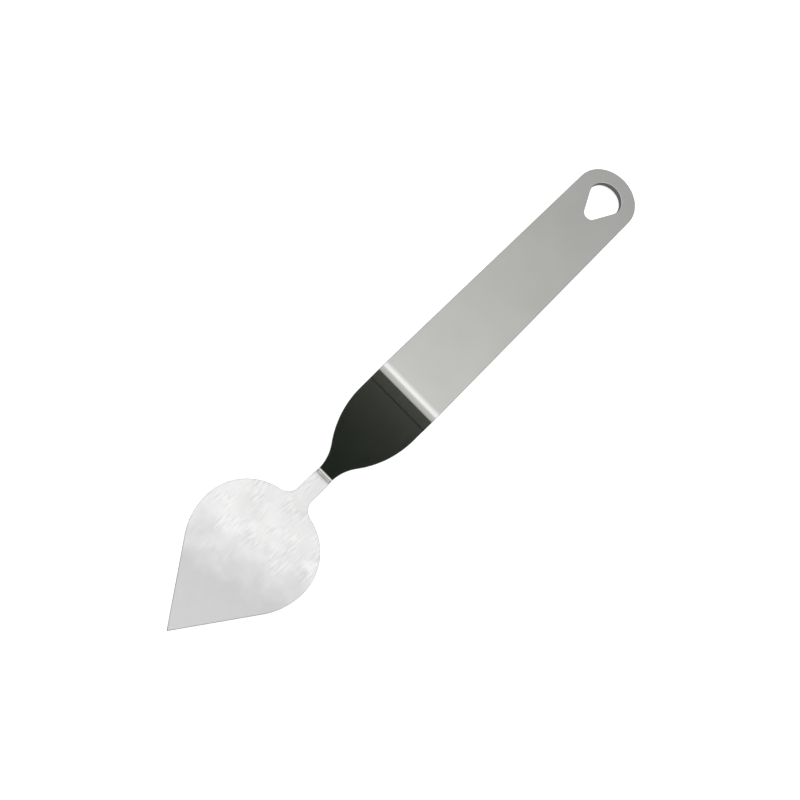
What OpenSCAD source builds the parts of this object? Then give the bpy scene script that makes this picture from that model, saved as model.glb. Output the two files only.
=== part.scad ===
// Cranked palette knife, all steel.
// A flat handle strip is bent down into a crank, and a thin spring leaf is
// lapped under the crank and spot welded to it. Millimetres.
// The knife is drawn lying on a table, resting on the heel of its crank and
// on the far end of its handle. +X runs toward the handle's end, +Z is up,
// and the origin is at the bottom centre of the whole knife.

/* [Handle] */
// Width of the handle strip
handle_w = 20; // [16:0.5:24]
// Thickness of the handle strip
handle_t = 1.8; // [1.4:0.1:2.4]
// Length from the upper bend to the centre of the rounded end
handle_flat = 90.3; // [70:0.1:120]

/* [Hanging hole] */
// Radius of the hole's round end, concentric with the handle's end
hole_r = 5.3; // [4:0.1:6]
// Radius of the hole's small end
hole_tip_r = 2.1; // [1:0.1:2.8]
// Distance between the centres of the two ends
hole_reach = 7.9; // [6:0.1:12]

/* [Crank] */
// Angle of the crank below the handle
crank_angle = 30; // [20:1:36]
// Straight length of the crank between its two bends
crank_len = 29.35; // [27:0.05:40]
// Inside radius of the bend between handle and crank
top_bend_r = 5; // [3:0.5:8]
// Inside radius of the bend between crank and foot
foot_bend_r = 1.2; // [1:0.1:3]
// Length of the flat foot beyond its bend
foot_len = 0.1; // [0.1:0.1:2]
// Width of the foot
foot_w = 4.9; // [4:0.1:5.9]
// Distance from the foot bend at which the crank reaches its full width
shoulder_at = 22.5; // [20:0.5:25]
// Radius of the crank's convex shoulders
shoulder_r = 27; // [24:0.5:32]
// Radius of the crank's concave waist
waist_r = 12.5; // [10:0.5:14]

/* [Blade] */
// Thickness of the spring leaf
blade_t = 0.6; // [0.4:0.05:0.8]
// Greatest width of the leaf
blade_w = 35.6; // [30:0.1:40]
// Width of the neck between leaf and foot, a little more than the foot
neck_w = 5.2; // [4.1:0.1:6]
// Length of the neck's parallel part outside the foot
neck_len = 7; // [4:0.1:12]
// Angle between the centre line and each straight edge at the tip
tip_angle = 35.5; // [30:0.5:40]
// Radius of the tip
tip_r = 0.2; // [0.1:0.1:1]
// Radius of the edges between the straight part and the widest point
belly_r = 19.6; // [18:0.1:22]
// Radius of the heel, behind the widest point
heel_r = 15.4; // [14.8:0.1:17]
// Radius of the fillets between heel and neck
heel_fillet_r = 3.7; // [2:0.1:5]

/* [Joint] */
// Distance from the upper bend to the end of the blade's tang
tang_gap = 2.9; // [2:0.1:6]
// Diameter of each spot weld
weld_d = 3.6; // [3:0.1:4]
// Number of spot welds along the crank
weld_count = 3; // [2:1:3]
// Distance from the upper bend to the first weld
weld_first = 6.1; // [5.2:0.1:8]
// Distance between weld centres
weld_pitch = 7.4; // [6:0.1:8]
// How far a weld reaches into the handle strip
weld_up = 0.9; // [0.5:0.1:1.2]
// How far a weld reaches into the tang
weld_down = 0.3; // [0.1:0.05:0.35]
// Depth of the dimple that the electrode leaves under each weld
dimple_h = 0.1; // [0.05:0.01:0.15]
// Width of the line pressed into the crank above the tang's end
line_w = 0.36; // [0.2:0.02:0.5]
// Depth of that line
line_h = 0.1; // [0.05:0.01:0.15]

/* [Hidden] */

$fn = 96;
strip_color = [0.62, 0.62, 0.60];
leaf_color = [0.84, 0.83, 0.83];
weld_color = [0.50, 0.49, 0.48];

end_r = handle_w / 2;
foot_half = foot_w / 2;
neck_half = neck_w / 2;
leaf_half = blade_w / 2;
overlap = 8;   // how far a cutter reaches above and below its plane
arc_step = 3;  // degrees

// Bend centres as [x, z], with the end radius's centre on top of the handle as zero
top_centre = [-handle_flat, -(top_bend_r + handle_t)];
crank_top = top_centre + (top_bend_r + handle_t) * [-sin(crank_angle), cos(crank_angle)];
crank_foot = crank_top - crank_len * [cos(crank_angle), sin(crank_angle)];
foot_centre = crank_foot + foot_bend_r * [-sin(crank_angle), cos(crank_angle)];
foot_top_z = foot_centre[1] - foot_bend_r;
blade_top_z = foot_top_z - handle_t;
foot_end_x = foot_centre[0] - foot_len;

// The shoulder arcs peak just outside the strip's edges, so that they cross them cleanly
shoulder_y = end_r + 0.03;
// Where the concave waist starts, so that it runs smoothly into the convex shoulder
flare_sum = shoulder_r + waist_r;
flare_rise = flare_sum - (shoulder_y - foot_half);
waist_at = shoulder_at - sqrt(flare_sum * flare_sum - flare_rise * flare_rise);
// How far the foot runs on below the crank's straight part, measured along the crank
foot_reach = (foot_bend_r * sin(crank_angle) + foot_len) * cos(crank_angle)
    + (foot_bend_r * (1 - cos(crank_angle)) + handle_t) * sin(crank_angle) + 0.05;

// The leaf along its own length, with zero where its straight edges would meet
belly_y = leaf_half - belly_r * (1 - cos(tip_angle));
widest_x = belly_y / tan(tip_angle) + belly_r * sin(tip_angle);
heel_y = leaf_half - heel_r;
fillet_y = neck_half + heel_fillet_r;
heel_sum = heel_r + heel_fillet_r;
fillet_x = widest_x + sqrt(heel_sum * heel_sum - (fillet_y - heel_y) * (fillet_y - heel_y));
leaf_start_x = foot_end_x - neck_len - fillet_x;

// Rest pose: the tilt that puts both the crank's heel and the handle's end on the table
rest_r = foot_bend_r + handle_t + blade_t;
rest_run = end_r - foot_centre[0];
rest_drop = -handle_t - foot_centre[1];
rest_tilt = atan2(rest_drop, rest_run) + asin(rest_r / norm([rest_run, rest_drop]));
lift = end_r * sin(rest_tilt) + handle_t * cos(rest_tilt);
tip_x = leaf_start_x + tip_r / sin(tip_angle) - tip_r;
far_x = end_r * cos(rest_tilt);
near_x = tip_x * cos(rest_tilt) + (blade_top_z - blade_t) * sin(rest_tilt);
mid_x = (far_x + near_x) / 2;

// Electrode dimples are shallow caps of a sphere
dimple_r = (weld_d * weld_d / 4 + dimple_h * dimple_h) / (2 * dimple_h);
// The pressed line is a shallow cut of a round bar
line_r = (line_w * line_w / 4 + line_h * line_h) / (2 * line_h);

// Puts a shape drawn on the handle's own axes into the rest pose
module at_rest() {
    translate([-mid_x, 0, lift])
        rotate([0, rest_tilt, 0])
            children();
}

// Puts a shape on the crank: x runs up the crank from the foot bend, z is its normal
module on_crank() {
    translate([crank_foot[0], 0, crank_foot[1]])
        rotate([0, -crank_angle, 0])
            children();
}

// Extrudes a side view, drawn as [x, z], across the width
module across(width) {
    rotate([90, 0, 0])
        linear_extrude(width, center = true)
            children();
}

// Points along an arc about a centre, from angle a to angle b, one every arc_step or finer
function arc(centre, r, a, b) =
    let (n = ceil(abs(b - a) / arc_step))
    [for (i = [0 : n]) centre + r * [cos(a + (b - a) * i / n), sin(a + (b - a) * i / n)]];

// Points in the opposite order
function backward(points) = [for (i = [len(points) - 1 : -1 : 0]) points[i]];

// Half an outline and its mirror image below the centre line, as one closed outline
function both_sides(half) = concat(half, backward([for (p = half) [p[0], -p[1]]]));

// Points at a depth below the strip's top face along its two bends, from foot to handle
function foot_arc(depth) = arc(foot_centre, foot_bend_r + depth, 270, 270 + crank_angle);
function top_arc(depth) = arc(top_centre, top_bend_r + handle_t - depth, 90 + crank_angle, 90);

// A point on the crank, a distance below the upper bend and a depth below the top face
function crank_point(below, depth) =
    crank_top - below * [cos(crank_angle), sin(crank_angle)]
    + depth * [sin(crank_angle), -cos(crank_angle)];

// Hanging hole: two round ends joined by tangents
module hole_outline() {
    side_angle = 90 + asin((hole_r - hole_tip_r) / hole_reach);
    polygon(both_sides(concat(
        arc([-hole_reach, 0], hole_tip_r, 180, side_angle),
        arc([0, 0], hole_r, side_angle, 0)
    )));
}

// What lies beyond the round end of the handle
module end_corners() {
    difference() {
        translate([0, -handle_w]) square(2 * handle_w);
        circle(end_r);
    }
}

// What lies beside the crank, on one side of it: the outline is a narrow foot, a concave
// waist, a convex shoulder, then the full width
module beside_crank() {
    turn = acos(flare_rise / flare_sum);
    polygon(concat(
        [[-foot_reach, handle_w], [-foot_reach, foot_half]],
        arc([waist_at, foot_half + waist_r], waist_r, -90, turn - 90),
        arc([shoulder_at, shoulder_y - shoulder_r], shoulder_r, 90 + turn, 90),
        [[shoulder_at, handle_w]]
    ));
}

// Cuts both sides of the crank to its outline, square to the crank's face
module crank_sides() {
    for (side = [0, 1])
        on_crank()
            mirror([0, side, 0])
                translate([0, 0, -overlap])
                    linear_extrude(2 * overlap) beside_crank();
}

// Side view of the strip: foot, crank, and a handle that runs on past its rounded end
module strip_side() {
    polygon(concat(
        [[foot_end_x, foot_top_z]],
        foot_arc(0),
        top_arc(0),
        [[handle_w, 0], [handle_w, -handle_t]],
        backward(top_arc(handle_t)),
        backward(foot_arc(handle_t)),
        [[foot_end_x, blade_top_z]]
    ));
}

module handle_plate() {
    color(strip_color)
        at_rest()
            difference() {
                across(handle_w) strip_side();
                translate([0, 0, -overlap]) linear_extrude(2 * overlap) end_corners();
                translate([0, 0, -overlap]) linear_extrude(2 * overlap) hole_outline();
                crank_sides();
                pressed_line();
                welds();
            }
}

// Fine line across the crank, pressed through from the tang's end below it
module pressed_line() {
    on_crank()
        translate([crank_len - tang_gap, 0, line_r - line_h])
            rotate([90, 0, 0])
                cylinder(h = handle_w + 2, r = line_r, center = true);
}

// Leaf outline: tip, straight edges, belly, heel, fillets and neck, then a tang as wide
// as the handle, which the crank's sides narrow
module leaf_outline() {
    meet = atan2(fillet_y - heel_y, fillet_x - widest_x);
    tang_x = foot_centre[0] - leaf_start_x;
    polygon(both_sides(concat(
        arc([tip_r / sin(tip_angle), 0], tip_r, 180, 90 + tip_angle),
        arc([widest_x, leaf_half - belly_r], belly_r, 90 + tip_angle, 90),
        arc([widest_x, heel_y], heel_r, 90, meet),
        arc([fillet_x, fillet_y], heel_fillet_r, meet - 180, -90),
        [[tang_x, neck_half], [tang_x, end_r], [tang_x + crank_len, end_r]]
    )));
}

// Side view of the leaf: blade and neck, foot bend, and tang up the crank
module leaf_side() {
    polygon(concat(
        [[leaf_start_x, blade_top_z]],
        foot_arc(handle_t),
        [crank_point(tang_gap, handle_t), crank_point(tang_gap, handle_t + blade_t)],
        backward(foot_arc(handle_t + blade_t)),
        [[leaf_start_x, blade_top_z - blade_t]]
    ));
}

module blade() {
    color(leaf_color)
        at_rest()
            difference() {
                intersection() {
                    across(blade_w + 2) leaf_side();
                    translate([leaf_start_x, 0, blade_top_z - blade_t - 1])
                        linear_extrude(crank_len) leaf_outline();
                }
                crank_sides();
                welds();
                dimples();
            }
}

// Places its children at each weld, on the face between crank and tang
module at_welds() {
    for (i = [0 : weld_count - 1])
        on_crank()
            translate([crank_len - weld_first - i * weld_pitch, 0, -handle_t])
                children();
}

// Weld nuggets, fused half into the crank and half into the tang
module welds() {
    at_welds()
        translate([0, 0, -weld_down])
            cylinder(h = weld_up + weld_down, d = weld_d);
}

module dimples() {
    at_welds()
        translate([0, 0, dimple_h - blade_t - dimple_r])
            sphere(dimple_r);
}

module spot_welds() {
    color(weld_color)
        at_rest()
            welds();
}

handle_plate();
blade();
spot_welds();
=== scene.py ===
"""Looks of an all-steel cranked palette knife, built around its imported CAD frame.

The two sheets are modelled flat, as they are blanked, with rounded edges, and
then bent along the crank's two bends. Lengths in this first part are in
millimetres. Down to the joint they match the driving dimensions of the CAD model.
"""
import math

import bmesh
import bpy
from mathutils import Matrix, Vector


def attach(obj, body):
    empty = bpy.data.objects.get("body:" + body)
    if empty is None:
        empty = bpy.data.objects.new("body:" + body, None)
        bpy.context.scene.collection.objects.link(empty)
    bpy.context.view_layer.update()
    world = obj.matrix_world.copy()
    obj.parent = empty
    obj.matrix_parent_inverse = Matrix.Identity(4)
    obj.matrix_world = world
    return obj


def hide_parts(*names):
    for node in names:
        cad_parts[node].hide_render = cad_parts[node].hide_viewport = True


MM = 0.001

# Handle strip
HANDLE_W = 20.0
HANDLE_T = 1.8
HANDLE_FLAT = 90.3
HOLE_R = 5.3
HOLE_TIP_R = 2.1
HOLE_REACH = 7.9

# Crank
CRANK_ANGLE = math.radians(30)
CRANK_LEN = 29.35
TOP_BEND_R = 5.0
FOOT_BEND_R = 1.2
FOOT_LEN = 0.1
FOOT_W = 4.9
SHOULDER_AT = 22.5
SHOULDER_R = 27.0
WAIST_R = 12.5

# Leaf
BLADE_T = 0.6
BLADE_W = 35.6
NECK_W = 5.2
NECK_LEN = 7.0
TIP_ANGLE = math.radians(35.5)
TIP_R = 0.2
BELLY_R = 19.6
HEEL_R = 15.4
HEEL_FILLET_R = 3.7

# Joint
TANG_GAP = 2.9
WELD_D = 3.6
WELD_COUNT = 3
WELD_FIRST = 6.1
WELD_PITCH = 7.4
DIMPLE_H = 0.1
LINE_W = 0.36

# Details that only the looks have. The line across the crank is shallower than in the CAD.
LINE_H = 0.003
STRIP_EDGE_R = 0.2
LEAF_EDGE_R = 0.16
EDGE_STEPS = 5
ARC_STEP = math.radians(2)
BEND_STEPS = 24
MARK_R = 0.42
MARK_H = 0.026
MARK_BELOW = 4.5
MARK_ASIDE = -0.35
DIMPLE_SIDES = 32
DIMPLE_STEPS = 5
NECK_STEP = 0.1   # from the foot's end to where the neck and the tang have their full widths

# How the meshes are made
SAME_POINT = 1e-4   # points nearer than this are one point
CUT_SNAP = 1e-6
MITRE_LIMIT = 0.35
LINE_CUTS = 6       # across the pressed line
LINE_RIM = 0.99     # share of the line's half width that is pressed down
FACES_UP = 0.99     # a normal with at least this much Z belongs to the top face
UV_UNIT = 100       # millimetres of the blank in one unit of its UV map
FACE = 0            # material slots of a sheet
CUT_EDGE = 1

# Derived places in the handle's own frame, as (x, z)
END_R = HANDLE_W / 2
TOP_OUTER_R = TOP_BEND_R + HANDLE_T
SIN, COS = math.sin(CRANK_ANGLE), math.cos(CRANK_ANGLE)
TOP_CENTRE = (-HANDLE_FLAT, -TOP_OUTER_R)
CRANK_TOP = (TOP_CENTRE[0] - TOP_OUTER_R * SIN, TOP_CENTRE[1] + TOP_OUTER_R * COS)
CRANK_FOOT = (CRANK_TOP[0] - CRANK_LEN * COS, CRANK_TOP[1] - CRANK_LEN * SIN)
FOOT_CENTRE = (CRANK_FOOT[0] - FOOT_BEND_R * SIN, CRANK_FOOT[1] + FOOT_BEND_R * COS)
FOOT_TOP_Z = FOOT_CENTRE[1] - FOOT_BEND_R

# Distances along the flat blank, with zero where the crank meets its foot bend
FOOT_BEND_LEN = (FOOT_BEND_R + HANDLE_T) * CRANK_ANGLE
TOP_BEND_LEN = (TOP_BEND_R + HANDLE_T / 2) * CRANK_ANGLE
HANDLE_S = CRANK_LEN + TOP_BEND_LEN
END_S = HANDLE_S + HANDLE_FLAT
FOOT_END_S = -FOOT_BEND_LEN - FOOT_LEN
TANG_END_S = CRANK_LEN - TANG_GAP

# Rest pose on the table
REST_R = FOOT_BEND_R + HANDLE_T + BLADE_T
REST_RUN = END_R - FOOT_CENTRE[0]
REST_DROP = -HANDLE_T - FOOT_CENTRE[1]
REST_TILT = math.atan2(REST_DROP, REST_RUN) + math.asin(REST_R / math.hypot(REST_RUN, REST_DROP))


def arc(centre, radius, start, end):
    """Points along an arc from angle start to angle end."""
    n = max(2, math.ceil(abs(end - start) / ARC_STEP))
    angles = [start + (end - start) * i / n for i in range(n + 1)]
    return [(centre[0] + radius * math.cos(a), centre[1] + radius * math.sin(a)) for a in angles]


def closed(half):
    """A half outline on the +Y side and its mirror image, counter-clockwise, each point once."""
    loop = []
    for x, y in [(x, -y) for x, y in half] + half[::-1]:
        if not loop or math.dist(loop[-1], (x, y)) > SAME_POINT:
            loop.append((x, y))
    if math.dist(loop[0], loop[-1]) < SAME_POINT:
        loop.pop()
    return loop


def crank_edge():
    """The +Y edge of foot and crank: concave waist, then convex shoulder."""
    half = FOOT_W / 2
    total = SHOULDER_R + WAIST_R
    rise = total - (END_R - half)
    waist_at = SHOULDER_AT - math.sqrt(total * total - rise * rise)
    turn = math.acos(rise / total)
    waist = arc((waist_at, half + WAIST_R), WAIST_R, -math.pi / 2, turn - math.pi / 2)
    shoulder = arc((SHOULDER_AT, END_R - SHOULDER_R), SHOULDER_R, math.pi / 2 + turn, math.pi / 2)
    return waist + shoulder[1:]


def strip_outline():
    """Foot, crank, handle and round end."""
    foot = [(FOOT_END_S, FOOT_W / 2)]
    end = arc((END_S, 0), END_R, math.pi / 2, 0)
    return closed(foot + crank_edge() + end)


def hole_outline():
    """Teardrop: two round ends joined by tangents."""
    side = math.pi / 2 + math.asin((HOLE_R - HOLE_TIP_R) / HOLE_REACH)
    small = arc((END_S - HOLE_REACH, 0), HOLE_TIP_R, math.pi, side)
    big = arc((END_S, 0), HOLE_R, side, 0)
    return closed(small + big)


def leaf_edge():
    """The +Y edge of the blade from its tip to the foot, along the blank."""
    half = BLADE_W / 2
    belly_y = half - BELLY_R * (1 - math.cos(TIP_ANGLE))
    widest = belly_y / math.tan(TIP_ANGLE) + BELLY_R * math.sin(TIP_ANGLE)
    heel_y = half - HEEL_R
    fillet_y = NECK_W / 2 + HEEL_FILLET_R
    fillet = widest + math.sqrt((HEEL_R + HEEL_FILLET_R) ** 2 - (fillet_y - heel_y) ** 2)
    meet = math.atan2(fillet_y - heel_y, fillet - widest)
    quarter = math.pi / 2
    edge = arc((TIP_R / math.sin(TIP_ANGLE), 0), TIP_R, math.pi, quarter + TIP_ANGLE)
    edge += arc((widest, half - BELLY_R), BELLY_R, quarter + TIP_ANGLE, quarter)
    edge += arc((widest, heel_y), HEEL_R, quarter, meet)
    edge += arc((fillet, fillet_y), HEEL_FILLET_R, meet - math.pi, -quarter)
    start = FOOT_END_S - NECK_LEN - fillet
    return [(start + x, y) for x, y in edge]


def leaf_outline():
    """Blade, neck and the tang under the crank."""
    neck = [(FOOT_END_S - NECK_STEP, NECK_W / 2), (FOOT_END_S + NECK_STEP, FOOT_W / 2)]
    tang = [p for p in crank_edge() if p[0] < TANG_END_S]
    return closed(leaf_edge() + neck + tang + [(TANG_END_S, END_R)])


def bend_angle(s):
    """How steeply the bent steel slopes at a place along the blank."""
    if s >= HANDLE_S:
        return 0
    if s >= CRANK_LEN:
        return (HANDLE_S - s) / TOP_BEND_LEN * CRANK_ANGLE
    if s >= 0:
        return CRANK_ANGLE
    if s >= -FOOT_BEND_LEN:
        return (1 + s / FOOT_BEND_LEN) * CRANK_ANGLE
    return 0


def bent(s, y, depth):
    """A point of the blank, at a depth below the handle strip's top face, after bending."""
    angle = bend_angle(s)
    if s >= HANDLE_S:
        x, z = s - END_S, -depth
    elif s >= CRANK_LEN:
        x = TOP_CENTRE[0] - (TOP_OUTER_R - depth) * math.sin(angle)
        z = TOP_CENTRE[1] + (TOP_OUTER_R - depth) * math.cos(angle)
    elif s >= 0:
        x = CRANK_FOOT[0] + s * COS + depth * SIN
        z = CRANK_FOOT[1] + s * SIN - depth * COS
    elif s >= -FOOT_BEND_LEN:
        x = FOOT_CENTRE[0] + (FOOT_BEND_R + depth) * math.sin(angle)
        z = FOOT_CENTRE[1] - (FOOT_BEND_R + depth) * math.cos(angle)
    else:
        x = FOOT_CENTRE[0] + s + FOOT_BEND_LEN
        z = FOOT_TOP_Z - depth
    return Vector((x, y, z))


def rest_matrix():
    """From the handle's own frame in millimetres to the CAD frame in metres."""
    tilt = Matrix.Rotation(REST_TILT, 4, "Y")
    lift = END_R * math.sin(REST_TILT) + HANDLE_T * math.cos(REST_TILT)
    tip = min(s for s, _ in leaf_edge())
    far = tilt @ Vector((END_R, 0, 0))
    near = tilt @ bent(tip, 0, HANDLE_T + BLADE_T)
    middle = (far.x + near.x) / 2
    return Matrix.Scale(MM, 4) @ Matrix.Translation((-middle, 0, lift)) @ tilt


def mitre(before, after):
    """The mean left-hand direction of two edges that meet, and how much a mitre stretches it."""
    left = before.orthogonal().normalized() + after.orthogonal().normalized()
    left.normalize()
    return left, max(left.dot(before.orthogonal().normalized()), MITRE_LIMIT)


def inset(loop, distance):
    """A closed loop moved toward its left side, and the outward direction at each point."""
    moved, outward = [], []
    for i, p in enumerate(loop):
        before = Vector(p) - Vector(loop[i - 1])
        after = Vector(loop[(i + 1) % len(loop)]) - Vector(p)
        left, stretch = mitre(before, after)
        moved.append(tuple(Vector(p) + left * distance / stretch))
        outward.append(-left)
    return moved, outward


def edge_profile(thickness, radius):
    """(inset, depth, slope) steps down a sheet's rounded edge; slope 0 faces up, pi down."""
    steps = []
    for i in range(EDGE_STEPS + 1):
        a = math.pi / 2 * i / EDGE_STEPS
        steps.append((radius * (1 - math.sin(a)), radius * (1 - math.cos(a)), a))
    return steps + [(x, thickness - z, math.pi - a) for x, z, a in reversed(steps)]


def ring(bm, loop, depth, normals):
    """A closed row of vertices, each with the normal that it has on the flat blank."""
    facing = bm.verts.layers.float_vector["facing"]
    verts = [bm.verts.new((s, y, -depth)) for s, y in loop]
    for vert, normal in zip(verts, normals):
        vert[facing] = normal
    edges = [bm.edges.new((v, verts[i - 1])) for i, v in enumerate(verts)]
    return verts, edges


def bridge(bm, upper, lower, material):
    """Quads between two rings of the same length, facing outward."""
    for i in range(len(upper)):
        face = bm.faces.new((upper[i - 1], lower[i - 1], lower[i], upper[i]))
        face.material_index = material


def wall(bm, outline, thickness, radius):
    """A sheet's edge along one outline. Returns the edges that bound its top and bottom faces."""
    rings = []
    for gap, depth, slope in edge_profile(thickness, radius):
        loop, outward = inset(outline, gap)
        side, rise = math.sin(slope), math.cos(slope)
        rings.append(ring(bm, loop, depth, [(side * o.x, side * o.y, rise) for o in outward]))
    for k in range(len(rings) - 1):
        material = CUT_EDGE if k == EDGE_STEPS else FACE
        bridge(bm, rings[k][0], rings[k + 1][0], material)
    return rings[0][1], rings[-1][1]


def dimple(bm, centre, radius, height, face_depth, up):
    """A shallow round hollow in a face. Returns its rim edges."""
    facing = 1 if up else -1
    turn = [2 * math.pi * i / DIMPLE_SIDES for i in range(DIMPLE_SIDES)]
    around = [(math.cos(a), math.sin(a)) for a in turn]
    rim, outer = None, None
    for k in range(DIMPLE_STEPS, 0, -1):
        share = k / DIMPLE_STEPS
        depth = face_depth + facing * height * (1 - share * share)
        lean = 2 * height * share / radius if k < DIMPLE_STEPS else 0
        loop = [(centre[0] + radius * share * c, centre[1] + radius * share * s) for c, s in around]
        verts, edges = ring(bm, loop, depth, [(-lean * c, -lean * s, facing) for c, s in around])
        if outer is None:
            rim = edges
        else:
            for i in range(DIMPLE_SIDES):
                corners = (outer[i - 1], outer[i], verts[i], verts[i - 1])
                bm.faces.new(corners if up else corners[::-1])
        outer = verts
    bm.faces.new(outer if up else outer[::-1])
    return rim


def fill(bm, edges, facing):
    """A flat face, in triangles, inside one loop of edges and around any others."""
    made = bmesh.ops.triangle_fill(bm, use_beauty=True, edges=edges, normal=(0, 0, facing))
    for face in made["geom"]:
        if isinstance(face, bmesh.types.BMFace):
            face.normal_update()
            if face.normal.z * facing < 0:
                face.normal_flip()


def pressed_line(s, depth):
    """How far the fine line across the crank lowers the top face, and its slope there."""
    off = (s - TANG_END_S) / (LINE_W / 2)
    if abs(off) > LINE_RIM or depth > STRIP_EDGE_R:
        return 0, 0
    return LINE_H * (1 - off * off), 4 * LINE_H * off / LINE_W


def bend_cuts():
    """Places along the blank where its faces are cut, so that they bend smoothly."""
    cuts = [-FOOT_BEND_LEN * i / BEND_STEPS for i in range(BEND_STEPS + 1)]
    cuts += [CRANK_LEN + TOP_BEND_LEN * i / BEND_STEPS for i in range(BEND_STEPS + 1)]
    reach = LINE_CUTS // 2 + 1
    return cuts + [TANG_END_S + LINE_W * i / LINE_CUTS for i in range(-reach, reach + 1)]


def bent_normal(s, normal):
    """The direction that a normal of the flat blank has after bending."""
    return Matrix.Rotation(REST_TILT - bend_angle(s), 3, "Y") @ normal


def bend_sheet(bm, top):
    """Bends the flat blank and puts it in the CAD frame. Returns the normals."""
    facing = bm.verts.layers.float_vector["facing"]
    to_frame = rest_matrix()
    normals = []
    for v in bm.verts:
        s, y, depth = v.co.x, v.co.y, -v.co.z
        normal = v[facing].normalized()
        drop, slope = pressed_line(s, depth) if top == 0 else (0, 0)
        if normal.z > FACES_UP:
            normal = Vector((-slope, 0, 1)).normalized()
        normals.append(bent_normal(s, normal))
        v.co = to_frame @ bent(s, y, top + depth + drop)
    return normals


def sheet_metal(name, outline, holes, top, thickness, radius, top_marks, bottom_marks):
    """One bent sheet as a mesh object: walls, faces, hollows, then the bends."""
    bm = bmesh.new()
    bm.verts.layers.float_vector.new("facing")
    upper, lower = [], []
    for loop in [outline] + [hole[::-1] for hole in holes]:
        above, below = wall(bm, loop, thickness, radius)
        upper += above
        lower += below
    for centre, size, height in top_marks:
        upper += dimple(bm, centre, size, height, 0, True)
    for centre, size, height in bottom_marks:
        lower += dimple(bm, centre, size, height, thickness, False)
    fill(bm, upper, 1)
    fill(bm, lower, -1)
    for cut in bend_cuts():
        parts = bm.verts[:] + bm.edges[:] + bm.faces[:]
        bmesh.ops.bisect_plane(bm, geom=parts, plane_co=(cut, 0, 0), plane_no=(1, 0, 0), dist=CUT_SNAP)
    blank = bm.loops.layers.uv.new("blank")
    for face in bm.faces:
        for corner in face.loops:
            corner[blank].uv = (corner.vert.co.x / UV_UNIT, corner.vert.co.y / UV_UNIT)
    normals = bend_sheet(bm, top)
    mesh = bpy.data.meshes.new(name)
    bm.to_mesh(mesh)
    bm.free()
    mesh.shade_smooth()
    mesh.normals_split_custom_set_from_vertices(normals)
    piece = bpy.data.objects.new(name, mesh)
    bpy.context.scene.collection.objects.link(piece)
    return piece


def weld_places():
    return [(CRANK_LEN - WELD_FIRST - i * WELD_PITCH, 0) for i in range(WELD_COUNT)]


# Materials: colours, roughness from smooth to rough, and places on the flat blank in millimetres

STRIP_DARK = (0.575, 0.575, 0.56)
STRIP_LIGHT = (0.625, 0.625, 0.61)
STRIP_ROUGH = (0.13, 0.17)
# Painted shade in the pressed line across the crank: a darker colour along the line.
LINE_SHADE_COLOUR = (0.30, 0.30, 0.28)
LINE_SHADE_HALF_W = (0.15, 0.27)    # full up to the first, none from the second

# Painted reflection on the leaf: the colour is painted darker toward the tip and brighter toward the
# heel. Scratches and a random tone are added on top of it.
LEAF_PAINTED_SHADE = (0.49, 0.49, 0.49)
LEAF_PAINTED_SHEEN = (0.79, 0.785, 0.785)
LEAF_ROUGH = (0.26, 0.34)
SHEEN_FROM = -32.7
SHEEN_ALONG = (1, 0.3, 0)
SHEEN_RUN = (-8, 7)           # start and end of the change from painted shade to painted sheen
SHEEN_TONE = (0.06, 0.78)
SCRATCH_TONE = 0.45

CUT_DARK = (0.48, 0.48, 0.47)
CUT_LIGHT = (0.58, 0.58, 0.57)
CUT_ROUGH = (0.16, 0.24)
# Painted highlight on the end wall of the foot: a near-white colour there.
FOOT_PAINTED_HIGHLIGHT = (0.93, 0.93, 0.92)
FOOT_HIGHLIGHT_TO = (0.05, 0.2)   # painted highlight up to the first, plain from the second

WELD_DARK = (0.36, 0.36, 0.38)
WELD_LIGHT = (0.50, 0.48, 0.46)
WELD_ROUGH = (0.4, 0.55)
WELD_GRIT = 3000               # grains in a metre

PAPER_DARK = (0.90, 0.90, 0.90)
PAPER_LIGHT = (0.93, 0.93, 0.93)
PAPER_ROUGH = 0.9
PAPER_FIBRE = 400              # fibres in a metre
PAPER_GLOW = 0.75
MIRRORED_FLOOR = 0.2

MID_NOISE = (0.3, 0.7)         # where most of a noise texture's values lie
WIDE_NOISE = (0.2, 0.8)
MIX_FACTOR, MIX_A, MIX_B = 0, 6, 7   # sockets of a Mix node for colours
MIX_RESULT = 2


def new_material(name):
    material = bpy.data.materials.new(name)
    material.use_nodes = True
    nodes, links = material.node_tree.nodes, material.node_tree.links
    return material, nodes, links, nodes["Principled BSDF"]


def new_steel(name):
    material, nodes, links, shader = new_material(name)
    shader.inputs["Metallic"].default_value = 1
    return material, nodes, links, shader


def blank_coords(nodes, links, along=1, across=1):
    """Coordinates on the flat blank in millimetres, squeezed by a factor along and across it."""
    uv = nodes.new("ShaderNodeUVMap")
    uv.uv_map = "blank"
    scale = nodes.new("ShaderNodeMapping")
    scale.inputs["Scale"].default_value = (UV_UNIT * along, UV_UNIT * across, 1)
    links.new(uv.outputs["UV"], scale.inputs["Vector"])
    return scale.outputs["Vector"]


def noise(nodes, links, coords, scale, detail, rough=0.5):
    texture = nodes.new("ShaderNodeTexNoise")
    texture.inputs["Scale"].default_value = scale
    texture.inputs["Detail"].default_value = detail
    texture.inputs["Roughness"].default_value = rough
    links.new(coords, texture.inputs["Vector"])
    return texture.outputs["Fac"]


def remap(nodes, links, value, source, target):
    """A value moved from one range to another, and held at the target's ends."""
    node = nodes.new("ShaderNodeMapRange")
    node.inputs["From Min"].default_value = source[0]
    node.inputs["From Max"].default_value = source[1]
    node.inputs["To Min"].default_value = target[0]
    node.inputs["To Max"].default_value = target[1]
    links.new(value, node.inputs["Value"])
    return node.outputs["Result"]


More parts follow.
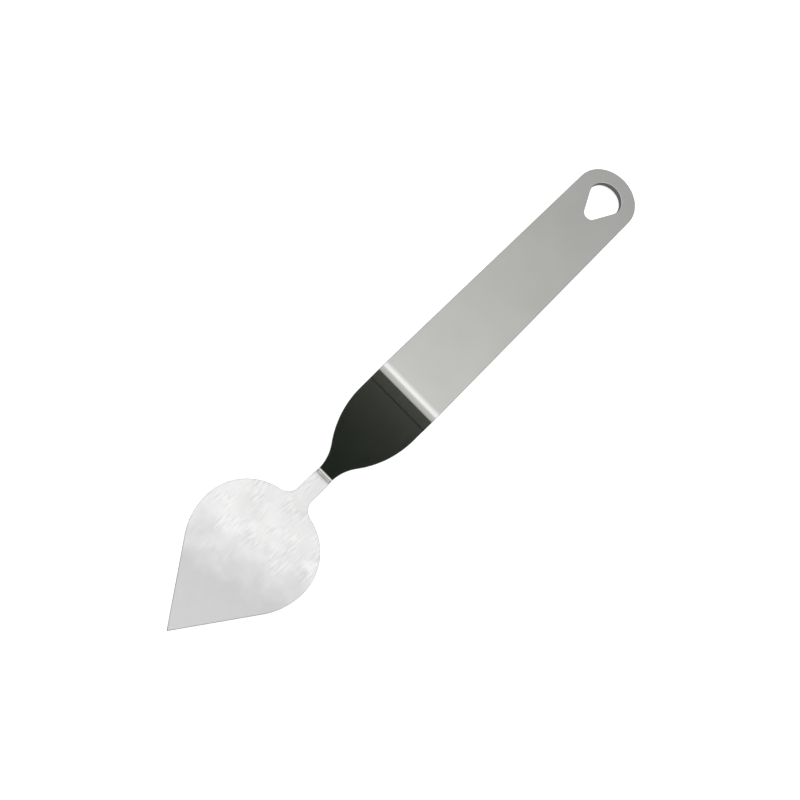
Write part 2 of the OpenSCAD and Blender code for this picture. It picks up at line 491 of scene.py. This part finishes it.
def calculate(nodes, links, operation, a, b=None):
    """An operation on a socket and, where it takes two, a second socket or a number."""
    node = nodes.new("ShaderNodeMath")
    node.operation = operation
    links.new(a, node.inputs[0])
    if isinstance(b, (int, float)):
        node.inputs[1].default_value = b
    elif b is not None:
        links.new(b, node.inputs[1])
    return node.outputs["Value"]


def tint(nodes, links, value, dark, light):
    """A colour between two, each a colour or a socket, picked by a value from 0 to 1."""
    mix = nodes.new("ShaderNodeMix")
    mix.data_type = "RGBA"
    for socket, colour in ((mix.inputs[MIX_A], dark), (mix.inputs[MIX_B], light)):
        if isinstance(colour, tuple):
            socket.default_value = (*colour, 1)
        else:
            links.new(colour, socket)
    links.new(value, mix.inputs[MIX_FACTOR])
    return mix.outputs[MIX_RESULT]


def roughen(nodes, links, shader, texture, rough):
    """Roughness that follows a texture between two values."""
    links.new(remap(nodes, links, texture, WIDE_NOISE, rough), shader.inputs["Roughness"])


def bump(nodes, links, shader, height, strength, distance):
    node = nodes.new("ShaderNodeBump")
    node.inputs["Strength"].default_value = strength
    node.inputs["Distance"].default_value = distance
    links.new(height, node.inputs["Height"])
    links.new(node.outputs["Normal"], shader.inputs["Normal"])


def measure(nodes, links, coords, direction, start):
    """Distance in millimetres along a direction of the flat blank, from a start."""
    dot = nodes.new("ShaderNodeVectorMath")
    dot.operation = "DOT_PRODUCT"
    dot.inputs[1].default_value = direction
    links.new(coords, dot.inputs[0])
    return calculate(nodes, links, "SUBTRACT", dot.outputs["Value"], start)


def painted_line_shade(nodes, links, coords):
    """1 where shade is painted into the pressed line across the crank, 0 elsewhere."""
    from_line = measure(nodes, links, coords, (1, 0, 0), TANG_END_S)
    off_line = calculate(nodes, links, "ABSOLUTE", from_line)
    return remap(nodes, links, off_line, LINE_SHADE_HALF_W, (1, 0))


def strip_steel():
    """Smooth satin stainless strip with a very fine grain along its length."""
    material, nodes, links, shader = new_steel("strip_steel")
    flat = blank_coords(nodes, links)
    grain = noise(nodes, links, blank_coords(nodes, links, 0.12, 5.0), 1.0, 3)
    cloud = noise(nodes, links, flat, 0.06, 2)
    fine = remap(nodes, links, grain, (0, 1), (0, 0.4))
    broad = remap(nodes, links, cloud, MID_NOISE, (0, 0.6))
    tone = calculate(nodes, links, "ADD", fine, broad)
    clean = tint(nodes, links, tone, STRIP_DARK, STRIP_LIGHT)
    # Painted shade: the colour is darkened along the pressed line across the crank.
    colour = tint(nodes, links, painted_line_shade(nodes, links, flat), clean, LINE_SHADE_COLOUR)
    links.new(colour, shader.inputs["Base Color"])
    roughen(nodes, links, shader, grain, STRIP_ROUGH)
    bump(nodes, links, shader, grain, 0.05, 0.02 * MM)
    return material


def leaf_painted_sheen(nodes, links, flat, cloud):
    """0 toward the tip and 1 toward the heel, where a painted sheen brightens the steel's colour."""
    along = measure(nodes, links, flat, SHEEN_ALONG, SHEEN_FROM)
    waves = remap(nodes, links, cloud, MID_NOISE, (-3, 3))
    wavy = calculate(nodes, links, "ADD", along, waves)
    return remap(nodes, links, wavy, SHEEN_RUN, (0, 1))


def leaf_scratches(nodes, links, grain, flat, sheen):
    """Long marks and fine lines, in patches toward the heel, where the painted sheen is."""
    streak = noise(nodes, links, blank_coords(nodes, links, 0.35, 1.5), 1.0, 1)
    patches = remap(nodes, links, noise(nodes, links, flat, 0.17, 1), (0.44, 0.62), (0.1, 1))
    worn = calculate(nodes, links, "MULTIPLY", patches, sheen)
    marks = remap(nodes, links, streak, (0.35, 0.65), (-0.5, 0.5))
    lines = remap(nodes, links, grain, MID_NOISE, (-0.3, 0.3))
    worn_marks = calculate(nodes, links, "MULTIPLY", marks, worn)
    worn_lines = calculate(nodes, links, "MULTIPLY", lines, worn)
    return calculate(nodes, links, "ADD", worn_marks, worn_lines)


def leaf_steel():
    """Ground spring steel, scratched toward the heel, with a painted reflection: the colour is painted
    darker toward the tip and brighter toward the heel.
    """
    material, nodes, links, shader = new_steel("spring_steel")
    flat = blank_coords(nodes, links)
    grain = noise(nodes, links, blank_coords(nodes, links, 0.25, 2.2), 1.0, 3, 0.55)
    cloud = noise(nodes, links, flat, 0.12, 2)
    # Painted sheen: the colour brightens from the tip toward the heel.
    sheen = leaf_painted_sheen(nodes, links, flat, cloud)
    scratches = leaf_scratches(nodes, links, grain, flat, sheen)
    clouds = remap(nodes, links, cloud, MID_NOISE, (-0.12, 0.12))
    bloom = calculate(nodes, links, "MULTIPLY", clouds, sheen)
    level = remap(nodes, links, sheen, (0, 1), SHEEN_TONE)
    base = calculate(nodes, links, "ADD", level, bloom)
    scratch_tone = calculate(nodes, links, "MULTIPLY", scratches, SCRATCH_TONE)
    tone = calculate(nodes, links, "ADD", base, scratch_tone)
    links.new(tint(nodes, links, tone, LEAF_PAINTED_SHADE, LEAF_PAINTED_SHEEN), shader.inputs["Base Color"])
    roughen(nodes, links, shader, grain, LEAF_ROUGH)
    bump(nodes, links, shader, scratches, 0.1, 0.03 * MM)
    return material


def cut_steel(name, paint_foot_highlight):
    """Blanked and tumbled edge, with fine shear lines. The end wall of the foot may get a painted
    highlight.
    """
    material, nodes, links, shader = new_steel(name)
    lines = noise(nodes, links, blank_coords(nodes, links, 6, 6), 1.0, 2)
    colour = tint(nodes, links, lines, CUT_DARK, CUT_LIGHT)
    if paint_foot_highlight:
        # Painted highlight: the foot's end wall is coloured near white.
        from_end = measure(nodes, links, blank_coords(nodes, links), (1, 0, 0), FOOT_END_S)
        highlight = remap(nodes, links, from_end, FOOT_HIGHLIGHT_TO, (1, 0))
        colour = tint(nodes, links, highlight, colour, FOOT_PAINTED_HIGHLIGHT)
    links.new(colour, shader.inputs["Base Color"])
    roughen(nodes, links, shader, lines, CUT_ROUGH)
    bump(nodes, links, shader, lines, 0.15, 0.02 * MM)
    return material


def weld_steel():
    """Coarse, slightly blued metal of a spot weld."""
    material, nodes, links, shader = new_steel("weld_metal")
    place = nodes.new("ShaderNodeTexCoord").outputs["Object"]
    grit = noise(nodes, links, place, WELD_GRIT, 3)
    links.new(tint(nodes, links, grit, WELD_DARK, WELD_LIGHT), shader.inputs["Base Color"])
    roughen(nodes, links, shader, grit, WELD_ROUGH)
    return material


def floor_paper():
    """White sweep, self-lit so that it holds little shadow. Steel mirrors it as a dim surround."""
    material, nodes, links, shader = new_material("floor_paper")
    place = nodes.new("ShaderNodeTexCoord").outputs["Object"]
    fibre = noise(nodes, links, place, PAPER_FIBRE, 2)
    links.new(tint(nodes, links, fibre, PAPER_DARK, PAPER_LIGHT), shader.inputs["Base Color"])
    shader.inputs["Roughness"].default_value = PAPER_ROUGH
    shader.inputs["Emission Color"].default_value = (1, 1, 1, 1)
    shader.inputs["Emission Strength"].default_value = PAPER_GLOW
    dim = nodes.new("ShaderNodeEmission")
    dim.inputs["Color"].default_value = (MIRRORED_FLOOR, MIRRORED_FLOOR, MIRRORED_FLOOR, 1)
    in_mirror = nodes.new("ShaderNodeLightPath").outputs["Is Glossy Ray"]
    mix = nodes.new("ShaderNodeMixShader")
    links.new(in_mirror, mix.inputs["Fac"])
    links.new(shader.outputs["BSDF"], mix.inputs[1])
    links.new(dim.outputs["Emission"], mix.inputs[2])
    links.new(mix.outputs["Shader"], nodes["Material Output"].inputs["Surface"])
    return material


# Pieces

def make_strip():
    mark = (CRANK_LEN - MARK_BELOW, MARK_ASIDE)
    piece = sheet_metal(
        "handle_strip", strip_outline(), [hole_outline()], 0, HANDLE_T, STRIP_EDGE_R,
        [(mark, MARK_R, MARK_H)], [],
    )
    piece.data.materials.append(strip_steel())
    piece.data.materials.append(cut_steel("strip_cut_edge", True))
    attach(piece, "root")
    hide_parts("handle_plate")


def make_leaf():
    hollows = [(place, WELD_D / 2, DIMPLE_H) for place in weld_places()]
    piece = sheet_metal(
        "spring_leaf", leaf_outline(), [], HANDLE_T, BLADE_T, LEAF_EDGE_R, [], hollows,
    )
    piece.data.materials.append(leaf_steel())
    piece.data.materials.append(cut_steel("leaf_cut_edge", False))
    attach(piece, "root")
    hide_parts("blade")


def dress_welds(node):
    node.data.materials.clear()
    node.data.materials.append(weld_steel())


# Studio

CAMERA_AIM = Vector((-11.45, 0.24, 15.21)) * MM
CAMERA_DISTANCE = 289.6 * MM
CAMERA_AZIMUTH = math.radians(-90.38)
CAMERA_ELEVATION = math.radians(71.44)
CAMERA_ROLL = math.radians(45.85)
CAMERA_LENS = 49.7
CAMERA_SENSOR = 36


def make_camera():
    data = bpy.data.cameras.new("camera")
    data.lens = CAMERA_LENS
    data.sensor_width = CAMERA_SENSOR
    data.clip_start = 0.01
    camera = bpy.data.objects.new("camera", data)
    level = math.cos(CAMERA_ELEVATION)
    back = Vector((
        math.sin(CAMERA_AZIMUTH) * level,
        -math.cos(CAMERA_AZIMUTH) * level,
        math.sin(CAMERA_ELEVATION),
    ))
    right = Vector((0, 0, 1)).cross(back).normalized()
    up = back.cross(right)
    axes = Matrix((right, up, back)).transposed().to_4x4()
    turn = Matrix.Rotation(CAMERA_ROLL, 4, "Z")
    camera.matrix_world = Matrix.Translation(CAMERA_AIM + back * CAMERA_DISTANCE) @ axes @ turn
    bpy.context.scene.collection.objects.link(camera)
    bpy.context.scene.camera = camera


# Brightness of the studio by angle from straight overhead, positive toward the handle's end
STUDIO = [
    (-90, (0.40, 0.40, 0.40)),
    (-62, (0.40, 0.40, 0.40)),
    (-50, (0.10, 0.10, 0.10)),
    (-44, (0.010, 0.016, 0.010)),
    (-31, (0.005, 0.012, 0.006)),
    (-25, (0.016, 0.018, 0.010)),
    (-21, (0.72, 0.72, 0.70)),
    (0, (0.84, 0.84, 0.83)),
    (6, (1.50, 1.50, 1.50)),
    (19, (1.45, 1.45, 1.45)),
    (24, (1.16, 1.16, 1.16)),
    (30, (1.08, 1.08, 1.08)),
    (35, (0.89, 0.89, 0.87)),
    (38, (0.81, 0.81, 0.80)),
    (41, (0.77, 0.77, 0.76)),
    (44, (0.67, 0.67, 0.66)),
    (49, (0.60, 0.60, 0.60)),
    (58, (0.50, 0.50, 0.50)),
    (68, (0.30, 0.30, 0.30)),
    (90, (0.30, 0.30, 0.30)),
]
# Brightness of the walls around it, and of the backdrop that the camera sees behind the table
LOW_LIGHT = 0.62
HORIZON = 1.0
WALL_TOP = (0.45, 0.62)   # height on a unit sphere, where the walls give way to the studio above
FLOOR_HALF = 1.5          # metres


def make_studio():
    """Soft box overhead, a bright strip beside it, a dark sector, and even walls below them."""
    world = bpy.data.worlds.new("studio")
    world.use_nodes = True
    bpy.context.scene.world = world
    nodes, links = world.node_tree.nodes, world.node_tree.links
    nodes.clear()
    direction = nodes.new("ShaderNodeTexCoord").outputs["Generated"]
    split = nodes.new("ShaderNodeSeparateXYZ")
    links.new(direction, split.inputs["Vector"])
    angle = nodes.new("ShaderNodeMath")
    angle.operation = "ARCTAN2"
    links.new(split.outputs["X"], angle.inputs[0])
    links.new(split.outputs["Z"], angle.inputs[1])
    place = remap(nodes, links, angle.outputs["Value"], (-math.pi / 2, math.pi / 2), (0, 1))
    ramp = nodes.new("ShaderNodeValToRGB")
    stops = ramp.color_ramp.elements
    while len(stops) < len(STUDIO):
        stops.new(0.5)
    for stop, (degrees, light) in zip(stops, STUDIO):
        stop.position = (degrees + 90) / 180
        stop.color = (*light, 1)
    links.new(place, ramp.inputs["Fac"])
    high = remap(nodes, links, split.outputs["Z"], WALL_TOP, (0, 1))
    light = tint(nodes, links, high, (LOW_LIGHT, LOW_LIGHT, LOW_LIGHT), ramp.outputs["Color"])
    studio = nodes.new("ShaderNodeBackground")
    links.new(light, studio.inputs["Color"])
    plain = nodes.new("ShaderNodeBackground")
    plain.inputs["Color"].default_value = (HORIZON, HORIZON, HORIZON, 1)
    seen = nodes.new("ShaderNodeLightPath").outputs["Is Camera Ray"]
    mix = nodes.new("ShaderNodeMixShader")
    links.new(seen, mix.inputs["Fac"])
    links.new(studio.outputs["Background"], mix.inputs[1])
    links.new(plain.outputs["Background"], mix.inputs[2])
    output = nodes.new("ShaderNodeOutputWorld")
    links.new(mix.outputs["Shader"], output.inputs["Surface"])


def make_floor():
    half = FLOOR_HALF
    mesh = bpy.data.meshes.new("floor")
    corners = [(-half, -half, 0), (half, -half, 0), (half, half, 0), (-half, half, 0)]
    mesh.from_pydata(corners, [], [(0, 1, 2, 3)])
    floor = bpy.data.objects.new("floor", mesh)
    floor.data.materials.append(floor_paper())
    bpy.context.scene.collection.objects.link(floor)


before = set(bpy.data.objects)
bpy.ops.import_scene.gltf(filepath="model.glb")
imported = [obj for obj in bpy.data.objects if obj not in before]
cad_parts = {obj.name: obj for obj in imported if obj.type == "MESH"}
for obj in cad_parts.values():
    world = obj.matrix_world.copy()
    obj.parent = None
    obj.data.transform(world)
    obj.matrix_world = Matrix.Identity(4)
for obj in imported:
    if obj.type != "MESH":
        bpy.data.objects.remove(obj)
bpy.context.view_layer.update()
make_camera()
make_studio()
make_floor()
make_strip()
make_leaf()
dress_welds(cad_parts["spot_welds"])
bpy.context.scene.view_settings.view_transform = "Standard"
